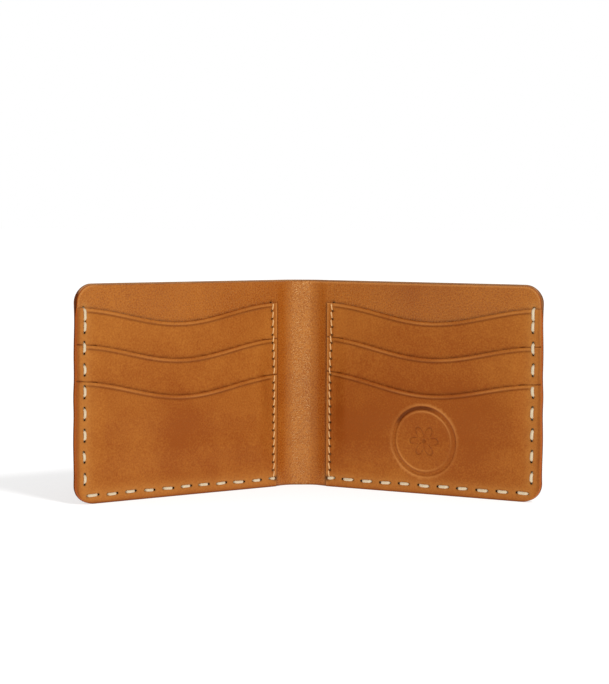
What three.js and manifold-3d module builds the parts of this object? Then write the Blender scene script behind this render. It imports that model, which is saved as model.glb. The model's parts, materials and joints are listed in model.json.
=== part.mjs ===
// Bifold wallet in vegetable-tanned leather, hand stitched, standing part open on its bottom edge.
//
// Millimetres, +Z up. The origin is at the bottom of the spine's centre line, in the middle of the
// lining's thickness. +X runs to the right-hand wing as the open wallet is read, and +Y out of its back.
//
// A wing is drawn as it lies flat: x is the distance from the spine's centre line, and depth is how far
// a face stands above the lining's inside face, towards the reader. The wing then turns about its fold
// line, which runs along that inside face. The left wing is the right wing mirrored.
import * as THREE from "three";
import { mergeVertices } from "three/addons/utils/BufferGeometryUtils.js";
import Module from "manifold-3d";

const wasm = await Module();
wasm.setup();

// ---------------------------------------------------------------- driving dimensions

const HEIGHT = 90;
const OPEN_WIDTH = 225;
const CORNER_RADIUS = 8;
const REST_ANGLE = THREE.MathUtils.degToRad(33); // each wing, forward of flat

const SHELL_THICKNESS = 1.2;
const LINING_THICKNESS = 0.9;
const POCKET_THICKNESS = 0.8;
const LAYER_GAP = 0.1; // between two leathers sewn together
const BILL_POCKET_BULGE = 0.5; // how far the shell stands off inside its stitching

const FOLD_X = 5; // each fold line, from the spine's centre line
const FOLD_CLEARANCE = 0.15; // from a fold line to the cut edge on either side of it

const LINING_DROP = 0.6; // the lining's top edge, below the shell's
const LINING_RELIEF = 0.8; // the lining's open top corner, inside the shell's edge
const RELIEF_START = 82.5; // height where that corner begins
const RELIEF_RISE = 2;

const POCKET_INNER_X = 12.4; // the pockets' edge beside the spine
const POCKET_TOP = 80.2; // top of the uppermost pocket, at its ends
const POCKET_PITCH = 15.3; // from one pocket's top edge to the next
const POCKET_DIP = 7; // how far each top edge curves down in the middle
const DIP_CENTRE_X = 61.5;
const DIP_HALF_WIDTH = 51;
const EAR_GAP = 0.3; // under a pocket's side ears, above the next pocket

const EDGE_SEAM_INSET = 3.8; // the outer stitches, from the wing's outer edge
const EDGE_SEAM_BOTTOM = 3.8; // the bottom stitches, from the bottom edge
const EDGE_THREAD_RADIUS = 0.4;
const EDGE_HOLE_RADIUS = 0.75;
const SIDE_HOLES = { top: 81.1, second: 75.06, pitch: 4.465, count: 17 }; // the first stitch is longer
const BOTTOM_HOLES = { outer: 107.2, pitch: 4.455, count: 22 };

const INNER_SEAM_X = 14.6;
const INNER_HOLES = { top: 81, pitch: 3.6, count: 21 };
const FINE_THREAD_RADIUS = 0.18;
const FINE_HOLE_RADIUS = 0.62;
const FINE_THREAD_SPREAD = 0.22; // two fine threads pass side by side through one hole

const BODY_INSET = 5.4; // a pocket's hidden body, inside the seams
const BODY_RAMP = 4; // width over which a pocket rises onto the one behind it
const POCKET_BODY_DEPTH = 51; // from a pocket's top edge to the bottom of its body
const BASE_SEAM_RISE = 2; // the seam across a body's bottom, above that bottom
const BASE_HOLES = { pitch: 9.5, count: 8 };
const GROOVE = { depth: 0.42, halfWidth: 0.45 }; // sinks that seam's thread into the leather

const THREAD_CLEARANCE = 0.03;
const DIP_DEPTH = 0.9; // how far a thread sinks where one hole joins two stitches on the same face

// ---------------------------------------------------------------- sizes worked out from those

const WING_LENGTH = OPEN_WIDTH / 2;
const EDGE_SEAM_X = WING_LENGTH - EDGE_SEAM_INSET;
const LINING_TOP = HEIGHT - LINING_DROP;
const LAYER_STEP = POCKET_THICKNESS + LAYER_GAP;
const BODY_INNER_X = INNER_SEAM_X + BODY_INSET;
const BODY_OUTER_X = EDGE_SEAM_X - BODY_INSET;
const SHELL_FRONT = -LINING_THICKNESS - LAYER_GAP; // depth of the shell's inside face at its stitching
const SHELL_BACK = SHELL_FRONT - SHELL_THICKNESS;
const POCKET_TOPS = [0, 1, 2].map((i) => POCKET_TOP - i * POCKET_PITCH);
const BODY_BOTTOMS = [0, 1].map((i) => POCKET_TOPS[i] - POCKET_BODY_DEPTH);
const POCKET_FACE = LAYER_GAP + POCKET_THICKNESS; // depth of a pocket's face at its stitching

// ---------------------------------------------------------------- materials

function leather(colour) {
  return new THREE.MeshStandardMaterial({ color: colour, roughness: 0.6, metalness: 0 });
}

const tan = leather(0xb0682c);
const tanDeep = leather(0xa65c27);
const cream = new THREE.MeshStandardMaterial({ color: 0xd9c6a2, roughness: 0.75, metalness: 0 });
const amber = new THREE.MeshStandardMaterial({ color: 0xcf9a62, roughness: 0.75, metalness: 0 });

// ---------------------------------------------------------------- solids and meshes

// A closed three.js geometry as a solid that can be cut.
function solid(geometry) {
  const bare = geometry.index ? geometry.toNonIndexed() : geometry.clone();
  bare.deleteAttribute("normal");
  bare.deleteAttribute("uv");
  const merged = mergeVertices(bare, 1e-4);
  return new wasm.Manifold(
    new wasm.Mesh({
      numProp: 3,
      vertProperties: merged.attributes.position.array,
      triVerts: new Uint32Array(merged.index.array),
    }),
  );
}

function namedMesh(name, shape, material) {
  const { vertProperties, triVerts } = shape.getMesh();
  const geometry = new THREE.BufferGeometry();
  geometry.setAttribute("position", new THREE.BufferAttribute(vertProperties, 3));
  geometry.setIndex(new THREE.BufferAttribute(triVerts, 1));
  geometry.computeVertexNormals();
  const mesh = new THREE.Mesh(geometry, material);
  mesh.name = name;
  return mesh;
}

// An outline in x and z, made solid between two depths.
function slab(outline, fromDepth, toDepth) {
  const geometry = new THREE.ExtrudeGeometry(outline, {
    depth: toDepth - fromDepth,
    bevelEnabled: false,
    curveSegments: 6,
  });
  return solid(geometry.translate(0, 0, fromDepth).rotateX(Math.PI / 2));
}

// A sheet whose back face lies at depthAt(x, z), cut to an outline. xs and zs are where it may bend.
function formedSheet(outline, thickness, xs, zs, depthAt) {
  const columns = xs.length - 1;
  const rows = zs.length - 1;
  const geometry = new THREE.BoxGeometry(columns, rows, thickness, columns, rows, 1);
  const position = geometry.attributes.position;
  for (let i = 0; i < position.count; i++) {
    const x = xs[Math.round(position.getX(i) + columns / 2)];
    const z = zs[Math.round(position.getY(i) + rows / 2)];
    position.setXYZ(i, x, z, position.getZ(i) + thickness / 2 + depthAt(x, z));
  }
  const sheet = solid(geometry.rotateX(Math.PI / 2));
  return sheet.intersect(slab(outline, -20, 20));
}

// Diamond holes, as an awl makes them, through everything at each { x, z }.
function punch(sheet, holes, radius) {
  return holes.reduce((left, { x, z }) => {
    const awl = new THREE.CylinderGeometry(radius, radius, 20, 4).translate(x, 0, z);
    return left.subtract(solid(awl));
  }, sheet);
}

// ---------------------------------------------------------------- outlines

// A pocket's top edge: level at its ends, one smooth dip between them.
function topEdgeHeight(top, x) {
  const share = Math.min(1, Math.abs(x - DIP_CENTRE_X) / DIP_HALF_WIDTH);
  return top - (POCKET_DIP * (1 + Math.cos(Math.PI * share))) / 2;
}

function traceTopEdge(outline, top, fromX, toX) {
  const steps = 18;
  for (let i = 0; i <= steps; i++) {
    const x = fromX + ((toX - fromX) * i) / steps;
    outline.lineTo(x, topEdgeHeight(top, x));
  }
}

function roundBottomOuterCorner(outline) {
  outline.lineTo(WING_LENGTH - CORNER_RADIUS, 0);
  outline.absarc(WING_LENGTH - CORNER_RADIUS, CORNER_RADIUS, CORNER_RADIUS, -Math.PI / 2, 0, false);
}

function shellOutline() {
  const outline = new THREE.Shape();
  const cornerX = WING_LENGTH - CORNER_RADIUS;
  outline.moveTo(FOLD_X + FOLD_CLEARANCE, HEIGHT);
  outline.lineTo(FOLD_X + FOLD_CLEARANCE, 0);
  roundBottomOuterCorner(outline);
  outline.absarc(cornerX, HEIGHT - CORNER_RADIUS, CORNER_RADIUS, 0, Math.PI / 2, false);
  return outline;
}

function liningOutline() {
  const outline = new THREE.Shape();
  const reliefX = WING_LENGTH - LINING_RELIEF;
  const radius = CORNER_RADIUS - LINING_RELIEF;
  const arcStart = LINING_TOP - radius;
  outline.moveTo(FOLD_X + FOLD_CLEARANCE, LINING_TOP);
  outline.lineTo(FOLD_X + FOLD_CLEARANCE, 0);
  roundBottomOuterCorner(outline);
  outline.lineTo(WING_LENGTH, RELIEF_START - RELIEF_RISE);
  outline.lineTo(reliefX, Math.min(RELIEF_START, arcStart));
  outline.absarc(reliefX - radius, arcStart, radius, 0, Math.PI / 2, false);
  return outline;
}

// An upper pocket is a T: ears reach both seams, and its body hangs inside them behind the next pocket.
function upperPocketOutline(index) {
  const outline = new THREE.Shape();
  const earBottom = POCKET_TOPS[index + 1] + EAR_GAP;
  const bodyBottom = BODY_BOTTOMS[index];
  outline.moveTo(POCKET_INNER_X, earBottom);
  outline.lineTo(BODY_INNER_X, earBottom);
  outline.lineTo(BODY_INNER_X, bodyBottom);
  outline.lineTo(BODY_OUTER_X, bodyBottom);
  outline.lineTo(BODY_OUTER_X, earBottom);
  outline.lineTo(WING_LENGTH, earBottom);
  traceTopEdge(outline, POCKET_TOPS[index], WING_LENGTH, POCKET_INNER_X);
  return outline;
}

function frontPocketOutline() {
  const outline = new THREE.Shape();
  outline.moveTo(POCKET_INNER_X, 0);
  roundBottomOuterCorner(outline);
  traceTopEdge(outline, POCKET_TOPS[2], WING_LENGTH, POCKET_INNER_X);
  return outline;
}

// ---------------------------------------------------------------- how the leather is formed

const ramp = THREE.MathUtils.smoothstep;

// The places between from and to where a ramp is bent.
function bends(from, to) {
  return [0, 1, 2, 3].map((i) => from + ((to - from) * i) / 3);
}

const INNER_RAMP = [BODY_INNER_X - BODY_RAMP - 0.2, BODY_INNER_X - 0.2];
const OUTER_RAMP = [BODY_OUTER_X + 0.2, BODY_OUTER_X + 0.2 + BODY_RAMP];
const TOP_BODY_RAMP = [BODY_BOTTOMS[0] - 4.5, BODY_BOTTOMS[0] - 0.3];
const MIDDLE_BODY_RAMP = [BODY_BOTTOMS[1] - 4.8, BODY_BOTTOMS[1] - 0.3];

// 1 inside the seams, 0 at the stitches.
function insideSeams(x) {
  return ramp(x, ...INNER_RAMP) * (1 - ramp(x, ...OUTER_RAMP));
}

// The middle pocket lies on the lining, and rises over the top pocket's body.
function middlePocketDepth(x, z) {
  return LAYER_GAP + LAYER_STEP * insideSeams(x) * ramp(z, ...TOP_BODY_RAMP);
}

// The front pocket rises over the middle pocket's body as well.
function frontPocketDepth(x, z) {
  return middlePocketDepth(x, z) + LAYER_STEP * insideSeams(x) * ramp(z, ...MIDDLE_BODY_RAMP);
}

const SHELL_SIDE_RAMP = [EDGE_SEAM_X - 6, EDGE_SEAM_X - 1.6];
const SHELL_BOTTOM_RAMP = [EDGE_SEAM_BOTTOM + 1.3, EDGE_SEAM_BOTTOM + 5.3];
const SHELL_SPINE_RAMP = [FOLD_X + 1.5, INNER_SEAM_X - 2.6];

// The shell's back face. It stands off the lining except beside its stitches, to hold banknotes.
function shellDepth(x, z) {
  const besideBottom = (1 - ramp(z, ...SHELL_BOTTOM_RAMP)) * ramp(x, ...SHELL_SPINE_RAMP);
  const stoodOff = (1 - ramp(x, ...SHELL_SIDE_RAMP)) * (1 - besideBottom);
  return SHELL_BACK - BILL_POCKET_BULGE * stoodOff;
}

// ---------------------------------------------------------------- stitch holes

const sideHoles = Array.from({ length: SIDE_HOLES.count }, (_, i) => ({
  x: EDGE_SEAM_X,
  z: i === 0 ? SIDE_HOLES.top : SIDE_HOLES.second - (i - 1) * SIDE_HOLES.pitch,
}));
const bottomHoles = Array.from({ length: BOTTOM_HOLES.count }, (_, i) => ({
  x: BOTTOM_HOLES.outer - i * BOTTOM_HOLES.pitch,
  z: EDGE_SEAM_BOTTOM,
}));
const edgeHoles = [...sideHoles, ...bottomHoles];

const innerHoles = Array.from({ length: INNER_HOLES.count }, (_, i) => ({
  x: INNER_SEAM_X,
  z: INNER_HOLES.top - i * INNER_HOLES.pitch,
}));

const baseHoles = BODY_BOTTOMS.map((bottom) =>
  Array.from({ length: BASE_HOLES.count }, (_, i) => ({
    x: DIP_CENTRE_X + (i - (BASE_HOLES.count - 1) / 2) * BASE_HOLES.pitch,
    z: bottom + BASE_SEAM_RISE,
  })),
);

// ---------------------------------------------------------------- threads

// A path through fixed points, sampled at those points only.
class PointPath extends THREE.Curve {
  constructor(points) {
    super();
    this.points = points;
  }

  getPoint(t, target = new THREE.Vector3()) {
    const place = t * (this.points.length - 1);
    const index = Math.min(Math.floor(place), this.points.length - 2);
    return target.lerpVectors(this.points[index], this.points[index + 1], place - index);
  }

  getUtoTmapping(u) {
    return u;
  }
}

// One thread through a row of holes. legs[i] says which face it lies on between hole i and hole i + 1.
function thread(name, holes, legs, { face, back, radius, sides, spread = 0, material }) {
  const depths = { front: face + radius + THREAD_CLEARANCE, back: back - radius - THREAD_CLEARANCE };
  const points = [];
  const add = (x, z, depth) => points.push(new THREE.Vector3(x + spread, -depth, z));
  holes.forEach(({ x, z }, i) => {
    const before = legs[i - 1] ?? "back";
    const after = legs[i] ?? "back";
    if (before !== after) {
      add(x, z, depths[before]);
      add(x, z, depths[after]);
    } else if (i > 0 && i < holes.length - 1) {
      const ahead = new THREE.Vector2(holes[i + 1].x - x, holes[i + 1].z - z).setLength(0.25);
      add(x - ahead.x, z - ahead.y, depths[before]);
      add(x, z, depths[before] - DIP_DEPTH);
      add(x + ahead.x, z + ahead.y, depths[before]);
    } else {
      add(x, z, depths[before]);
    }
  });
  const section = new THREE.Shape();
  section.absarc(0, 0, radius, 0, 2 * Math.PI, false);
  const tube = new THREE.ExtrudeGeometry(new THREE.Shape(section.getPoints(sides).slice(0, sides)), {
    steps: points.length - 1,
    extrudePath: new PointPath(points),
    bevelEnabled: false,
  });
  return namedMesh(name, solid(tube), material);
}

// A running stitch shows on the front between every other pair of holes.
function runningLegs(count, first = "front") {
  const other = first === "front" ? "back" : "front";
  return Array.from({ length: count - 1 }, (_, i) => (i % 2 ? other : first));
}

// The edge thread starts with two stitches end to end, then runs down the side and along the bottom.
const edgeLegs = ["front", ...runningLegs(edgeHoles.length - 1)];

// ---------------------------------------------------------------- one wing

function outerShell(side) {
  const xs = [FOLD_X - 1, ...bends(...SHELL_SPINE_RAMP), ...bends(...SHELL_SIDE_RAMP), WING_LENGTH + 1];
  const zs = [-1, ...bends(...SHELL_BOTTOM_RAMP), HEIGHT + 1];
  const sheet = formedSheet(shellOutline(), SHELL_THICKNESS, xs, zs, shellDepth);
  return namedMesh(`outer_shell_${side}`, punch(sheet, edgeHoles, EDGE_HOLE_RADIUS), tanDeep);
}

function lining(side) {
  let sheet = slab(liningOutline(), -LINING_THICKNESS, 0);
  sheet = punch(sheet, edgeHoles, EDGE_HOLE_RADIUS);
  sheet = punch(sheet, [...innerHoles, ...baseHoles.flat()], FINE_HOLE_RADIUS);
  return namedMesh(`lining_${side}`, sheet, tan);
}

// Sinks the thread of a pocket's base seam below its face.
function cutBaseGroove(sheet, index, faceDepth) {
  const holes = baseHoles[index];
  const ends = FINE_HOLE_RADIUS + 0.5;
  const groove = new THREE.BoxGeometry(
    holes.at(-1).x - holes[0].x + 2 * ends,
    2 * GROOVE.depth,
    2 * GROOVE.halfWidth,
  );
  return sheet.subtract(solid(groove.translate(DIP_CENTRE_X, -faceDepth, holes[0].z)));
}

function finishPocket(name, sheet, material) {
  const withEdgeHoles = punch(sheet, edgeHoles, EDGE_HOLE_RADIUS);
  return namedMesh(name, punch(withEdgeHoles, innerHoles, FINE_HOLE_RADIUS), material);
}

function topPocket(side) {
  let sheet = slab(upperPocketOutline(0), LAYER_GAP, POCKET_FACE);
  sheet = cutBaseGroove(sheet, 0, POCKET_FACE);
  sheet = punch(sheet, baseHoles[0], FINE_HOLE_RADIUS);
  return finishPocket(`card_pocket_top_${side}`, sheet, tan);
}

function middlePocket(side) {
  const xs = [POCKET_INNER_X - 1, ...bends(...INNER_RAMP), ...bends(...OUTER_RAMP), WING_LENGTH + 1];
  const zs = [BODY_BOTTOMS[1] - 1, ...bends(...TOP_BODY_RAMP), POCKET_TOPS[1] + 1];
  let sheet = formedSheet(upperPocketOutline(1), POCKET_THICKNESS, xs, zs, middlePocketDepth);
  sheet = cutBaseGroove(sheet, 1, POCKET_FACE);
  sheet = punch(sheet, baseHoles[1], FINE_HOLE_RADIUS);
  return finishPocket(`card_pocket_middle_${side}`, sheet, tan);
}

function frontPocket(side) {
  const xs = [POCKET_INNER_X - 1, ...bends(...INNER_RAMP), ...bends(...OUTER_RAMP), WING_LENGTH + 1];
  const zs = [-1, ...bends(...MIDDLE_BODY_RAMP), ...bends(...TOP_BODY_RAMP), POCKET_TOPS[2] + 1];
  const sheet = formedSheet(frontPocketOutline(), POCKET_THICKNESS, xs, zs, frontPocketDepth);
  return finishPocket(`card_pocket_front_${side}`, sheet, tanDeep);
}

function edgeThread(side) {
  return thread(`edge_thread_${side}`, edgeHoles, edgeLegs, {
    face: POCKET_FACE,
    back: SHELL_BACK,
    radius: EDGE_THREAD_RADIUS,
    sides: 6,
    material: cream,
  });
}

// Two threads share each hole of the inner seam, so that it shows a stitch between every pair of holes.
function innerSeamThreads(side) {
  return ["first", "second"].map((which, i) => {
    const legs = runningLegs(innerHoles.length, i === 0 ? "front" : "back");
    return thread(`inner_seam_thread_${which}_${side}`, innerHoles, legs, {
      face: POCKET_FACE,
      back: -LINING_THICKNESS,
      radius: FINE_THREAD_RADIUS,
      sides: 4,
      spread: i === 0 ? FINE_THREAD_SPREAD : -FINE_THREAD_SPREAD,
      material: amber,
    });
  });
}

function baseSeamThreads(side) {
  return ["top", "middle"].map((which, i) =>
    thread(`pocket_base_thread_${which}_${side}`, baseHoles[i], runningLegs(BASE_HOLES.count), {
      face: POCKET_FACE - GROOVE.depth,
      back: -LINING_THICKNESS,
      radius: FINE_THREAD_RADIUS,
      sides: 4,
      material: amber,
    }),
  );
}

function wing(side) {
  const flat = new THREE.Group();
  flat.add(outerShell(side), lining(side), topPocket(side), middlePocket(side), frontPocket(side));
  flat.add(edgeThread(side), ...innerSeamThreads(side), ...baseSeamThreads(side));
  flat.position.x = -FOLD_X;
  const folded = new THREE.Group();
  folded.add(flat);
  folded.position.x = FOLD_X;
  folded.rotation.z = -REST_ANGLE;
  const placed = new THREE.Group();
  placed.add(folded);
  placed.scale.x = side === "left" ? -1 : 1;
  return placed;
}

// ---------------------------------------------------------------- the spine between the fold lines

function spineStrip(name, fromDepth, toDepth, top, material) {
  const halfWidth = FOLD_X - FOLD_CLEARANCE;
  const outline = new THREE.Shape();
  outline.moveTo(-halfWidth, 0);
  outline.lineTo(halfWidth, 0);
  outline.lineTo(halfWidth, top);
  outline.lineTo(-halfWidth, top);
  return namedMesh(name, slab(outline, fromDepth, toDepth), material);
}

function spine() {
  const group = new THREE.Group();
  const shellBack = SHELL_BACK - BILL_POCKET_BULGE;
  group.add(spineStrip("outer_shell_spine", shellBack, shellBack + SHELL_THICKNESS, HEIGHT, tanDeep));
  group.add(spineStrip("lining_spine", -LINING_THICKNESS, 0, LINING_TOP, tan));
  return group;
}

const wallet = new THREE.Group();
wallet.add(spine(), wing("left"), wing("right"));
wallet.position.y = -LINING_THICKNESS / 2;

export default wallet;
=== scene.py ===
import json
import math

import bpy
import numpy as np
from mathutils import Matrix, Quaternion, Vector
from mathutils.geometry import delaunay_2d_cdt
from mathutils.kdtree import KDTree


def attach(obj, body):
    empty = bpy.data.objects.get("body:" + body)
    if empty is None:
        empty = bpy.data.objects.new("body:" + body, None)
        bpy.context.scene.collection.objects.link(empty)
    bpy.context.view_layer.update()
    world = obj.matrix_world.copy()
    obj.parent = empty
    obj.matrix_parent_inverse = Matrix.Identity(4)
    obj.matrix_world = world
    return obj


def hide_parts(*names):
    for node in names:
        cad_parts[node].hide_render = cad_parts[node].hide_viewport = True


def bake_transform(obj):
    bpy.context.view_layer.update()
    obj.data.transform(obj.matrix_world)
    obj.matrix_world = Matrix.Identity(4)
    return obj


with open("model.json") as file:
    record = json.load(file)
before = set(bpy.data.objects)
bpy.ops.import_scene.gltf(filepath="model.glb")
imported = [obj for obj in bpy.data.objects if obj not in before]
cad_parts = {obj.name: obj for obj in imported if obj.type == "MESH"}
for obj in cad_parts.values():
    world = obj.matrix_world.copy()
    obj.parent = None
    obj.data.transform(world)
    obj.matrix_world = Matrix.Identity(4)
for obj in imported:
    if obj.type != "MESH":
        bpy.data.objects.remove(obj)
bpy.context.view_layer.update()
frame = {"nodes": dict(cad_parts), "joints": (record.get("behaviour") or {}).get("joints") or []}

MM = 0.001

# ------------------------------------------------------------------ sizes read from the frame

RIGHT_FOLD = next(joint for joint in frame["joints"] if joint["name"] == "right_fold")
REST_ANGLE = -math.radians(RIGHT_FOLD["range_deg"][0])
FOLD_X = RIGHT_FOLD["pos_m"][0] / MM
FACE_Y = RIGHT_FOLD["pos_m"][1] / MM  # the lining's inside face, beside the fold


def turned(x, y, angle):
    """Points turned clockwise, seen from above, about the right fold line."""
    dx, dy = x - FOLD_X, y - FACE_Y
    return (
        FOLD_X + dx * np.cos(angle) + dy * np.sin(angle),
        FACE_Y - dx * np.sin(angle) + dy * np.cos(angle),
    )


def flat_box(node):
    """Lowest and highest (x, depth, z) of a right-wing CAD node, as it lies flat."""
    points = np.array([v.co for v in frame["nodes"][node].data.vertices]) / MM
    x, y = turned(points[:, 0], points[:, 1], -REST_ANGLE)
    flat = np.stack([x, FACE_Y - y, points[:, 2]], axis=1)
    return flat.min(axis=0), flat.max(axis=0)


SHELL_LOW, SHELL_HIGH = flat_box("outer_shell_right")
LINING_HIGH = flat_box("lining_right")[1]
POCKET_LAYERS = ("top", "middle", "front")
POCKET_BOXES = [flat_box(f"card_pocket_{layer}_right") for layer in POCKET_LAYERS]

WING_LENGTH = SHELL_HIGH[0]
HEIGHT = SHELL_HIGH[2]
LINING_TOP = LINING_HIGH[2]
POCKET_INNER_X = POCKET_BOXES[0][0][0]
POCKET_TOPS = [high[2] for low, high in POCKET_BOXES]
BODY_BOTTOMS = [low[2] for low, high in POCKET_BOXES[:2]]

# ------------------------------------------------------------------ sizes of the visible detail

CORNER_RADIUS = 8.0
LINING_RELIEF = 0.8  # the lining's top outer corner lies this far inside the shell's
RELIEF_START = 76.0
RELIEF_END = 82.5

LINING_THICKNESS = 0.9
POCKET_THICKNESS = 0.84
SHELL_THICKNESS = 1.2
LAYER_GAP = 0.04
POCKET_FACE = LAYER_GAP + POCKET_THICKNESS  # every pocket's face, at the seams
POCKET_STEP = POCKET_FACE + LAYER_GAP
SHELL_FACE = -LINING_THICKNESS - LAYER_GAP
BULGE = SHELL_FACE - SHELL_THICKNESS - SHELL_LOW[1]  # of the shell, inside its stitching
SHELL_ROUNDS = (0.08, 0.42)  # how round a sheet's front and back edges are
LINING_ROUNDS = (0.22, 0.06)
POCKET_ROUNDS = (0.3, 0.06)

BODY_INNER_X = 20.0
BODY_OUTER_X = WING_LENGTH - 9.2
BODY_CORNER = 5.0
THINNEST = 0.08  # the hidden bodies of the upper pockets are pared towards their edges
EAR_GAP = 0.07
NOTCHES = (0.06, 0.3)  # the gap below a top or middle ear widens by this at its two ends
MOUTH_TILTS = (0.001, 0.008, 0.0144)  # each pair of pockets was stitched in slightly turned

POCKET_DIP = 7.0
DIP_CENTRE_X = 62.3
DIP_HALF_WIDTH = 51.0
CREASE_DROP = 1.6  # the creased line, below each pocket's top edge
CREASE_DEPTH = 0.26
CREASE_WIDTH = 0.32
LIP_LIFT = 0.2  # how far a pocket's mouth stands off the layer behind

EDGE_SEAM_X = WING_LENGTH - 3.6
EDGE_SEAM_Z = 3.65
SIDE_TOP_Z = 80.2
SIDE_SECOND_Z = 75.06
SIDE_HOLES = 16  # below the top one
SIDE_PITCH = 4.465
BOTTOM_OUTER_X = WING_LENGTH - 5.4
BOTTOM_HOLES = 21  # before the one at the pockets' inner edge
BOTTOM_PITCH = 4.54
HAND_WANDER = 0.14  # how far a hand-made hole strays
EDGE_HOLE_SIZE = 0.54  # a hole's radius
INNER_SEAM_X = 14.2
INNER_DRIFT = 0.9  # how far the inner seam strays from the spine near its top
INNER_HOLES = 23
INNER_TOP_Z = 80.2
INNER_PITCH = 3.47
INNER_SLANT = 0.5  # each stitch leans across by this
INNER_HOLE_SIZE = 0.34
BASE_HOLES = 8
BASE_PITCH = 9.5
BASE_SEAM_RISE = 2.0
BASE_HOLE_SIZE = 0.25

EDGE_PRESS = 0.28  # how deep stitches draw the leather in
FINE_PRESS = 0.1
EDGE_THREAD_RADII = {"left": 0.6, "right": 0.66}
FINE_THREAD_RADIUS = 0.3
HIDDEN_THREAD_RADIUS = 0.15

STAMP_X = 60.0
STAMP_Z = 22.7
STAMP_RADIUS = 15.1
STAMP_INNER_RADIUS = STAMP_RADIUS - 1.8

SPINE_BOW = 0.5  # how far the middle of the spine curves back
BEND_START = 0.5  # the leather bends between these two distances from the spine's centre line
BEND_END = 12.0

SIDES = {"left": -1, "right": 1}

# ------------------------------------------------------------------ small maths


def ease(value, start, end):
    """0 before start, 1 after end, and smooth between."""
    t = np.clip((value - start) / (end - start), 0, 1)
    return t * t * (3 - 2 * t)


def bell(value, width):
    return np.exp(-((value / width) ** 2))


def distance_to_segments(points, starts, ends):
    """Each point's distance to the nearest of the segments, and how far along that segment it is."""
    best = np.full(len(points), 1e9)
    share = np.zeros(len(points))
    for a, b in zip(starts, ends):
        along = b - a
        t = np.clip(((points - a) @ along) / max(along @ along, 1e-9), 0, 1)
        gap = np.hypot(*(points - a - t[:, None] * along).T)
        closer = gap < best
        best[closer] = gap[closer]
        share[closer] = t[closer]
    return best, share


def distance_to_points(points, targets):
    """Each point's distance to the nearest target."""
    tree = KDTree(len(targets))
    for i, (x, z) in enumerate(targets):
        tree.insert((x, z, 0), i)
    tree.balance()
    return np.array([tree.find((x, z, 0))[2] for x, z in points])


# ------------------------------------------------------------------ outlines, as lists of (x, z)


def mouth_of(side, index):
    """A pocket's mouth: its height, and how it slopes out along the wing."""
    return POCKET_TOPS[index], -SIDES[side] * MOUTH_TILTS[index]


def top_edge(mouth, x):
    """The height of a mouth's edge: straight at its ends, one smooth dip between them."""
    top, tilt = mouth
    share = np.minimum(1, np.abs(x - DIP_CENTRE_X) / DIP_HALF_WIDTH)
    return top + tilt * (x - DIP_CENTRE_X) - POCKET_DIP * (1 + np.cos(np.pi * share)) / 2


def arc(centre_x, centre_z, radius, start, end, steps=16):
    angles = np.radians(np.linspace(start, end, steps + 1))
    return [(centre_x + radius * math.cos(a), centre_z + radius * math.sin(a)) for a in angles]


def bottom_outer_corner():
    return arc(WING_LENGTH - CORNER_RADIUS, CORNER_RADIUS, CORNER_RADIUS, -90, 0)


def shell_outline():
    corner_x = WING_LENGTH - CORNER_RADIUS
    top_corner = arc(corner_x, HEIGHT - CORNER_RADIUS, CORNER_RADIUS, 0, 90)
    return [(0, 0), *bottom_outer_corner(), *top_corner, (0, HEIGHT)]


def lining_outline():
    radius = CORNER_RADIUS - LINING_RELIEF
    corner_x = WING_LENGTH - CORNER_RADIUS
    zs = np.linspace(RELIEF_START, RELIEF_END - 0.5, 7)
    relief = [(WING_LENGTH - LINING_RELIEF * ease(z, RELIEF_START, RELIEF_END), z) for z in zs]
    top_corner = arc(corner_x, LINING_TOP - radius, radius, 0, 90)
    return [(0, 0), *bottom_outer_corner(), *relief, *top_corner, (0, LINING_TOP)]


def traced_top_edge(mouth):
    xs = np.linspace(WING_LENGTH, POCKET_INNER_X, 120)
    return [(x, top_edge(mouth, x)) for x in xs]


def ear_bottom(side, index, start_x, end_x):
    """The lower edge of an ear, just clear of the next pocket's top edge."""
    xs = np.linspace(start_x, end_x, 16)
    widening = ease(xs, EDGE_SEAM_X - 0.5, WING_LENGTH) + 1 - ease(xs, POCKET_INNER_X, INNER_SEAM_X)
    return list(zip(xs, top_edge(mouth_of(side, index + 1), xs) + EAR_GAP + NOTCHES[index] * widening))


def upper_pocket_outline(side, index):
    """A T: its ears reach both seams, and its body hangs behind the pocket in front."""
    low = BODY_BOTTOMS[index] + BODY_CORNER
    return [
        *ear_bottom(side, index, POCKET_INNER_X, BODY_INNER_X),
        *arc(BODY_INNER_X + BODY_CORNER, low, BODY_CORNER, 180, 270, 6),
        *arc(BODY_OUTER_X - BODY_CORNER, low, BODY_CORNER, 270, 360, 6),
        *ear_bottom(side, index, BODY_OUTER_X, WING_LENGTH),
        *traced_top_edge(mouth_of(side, index)),
    ]


def front_pocket_outline(side):
    return [(POCKET_INNER_X, 0), *bottom_outer_corner(), *traced_top_edge(mouth_of(side, 2))]


# ------------------------------------------------------------------ seams


def hole_loop(centre, along, length, width, steps=12):
    """An oval hole, with its length along a direction."""
    along = np.array(along)
    across = np.array([-along[1], along[0]])
    angles = np.arange(steps) * 2 * math.pi / steps
    return centre + np.outer(np.cos(angles) * length, along) + np.outer(np.sin(angles) * width, across)


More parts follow.
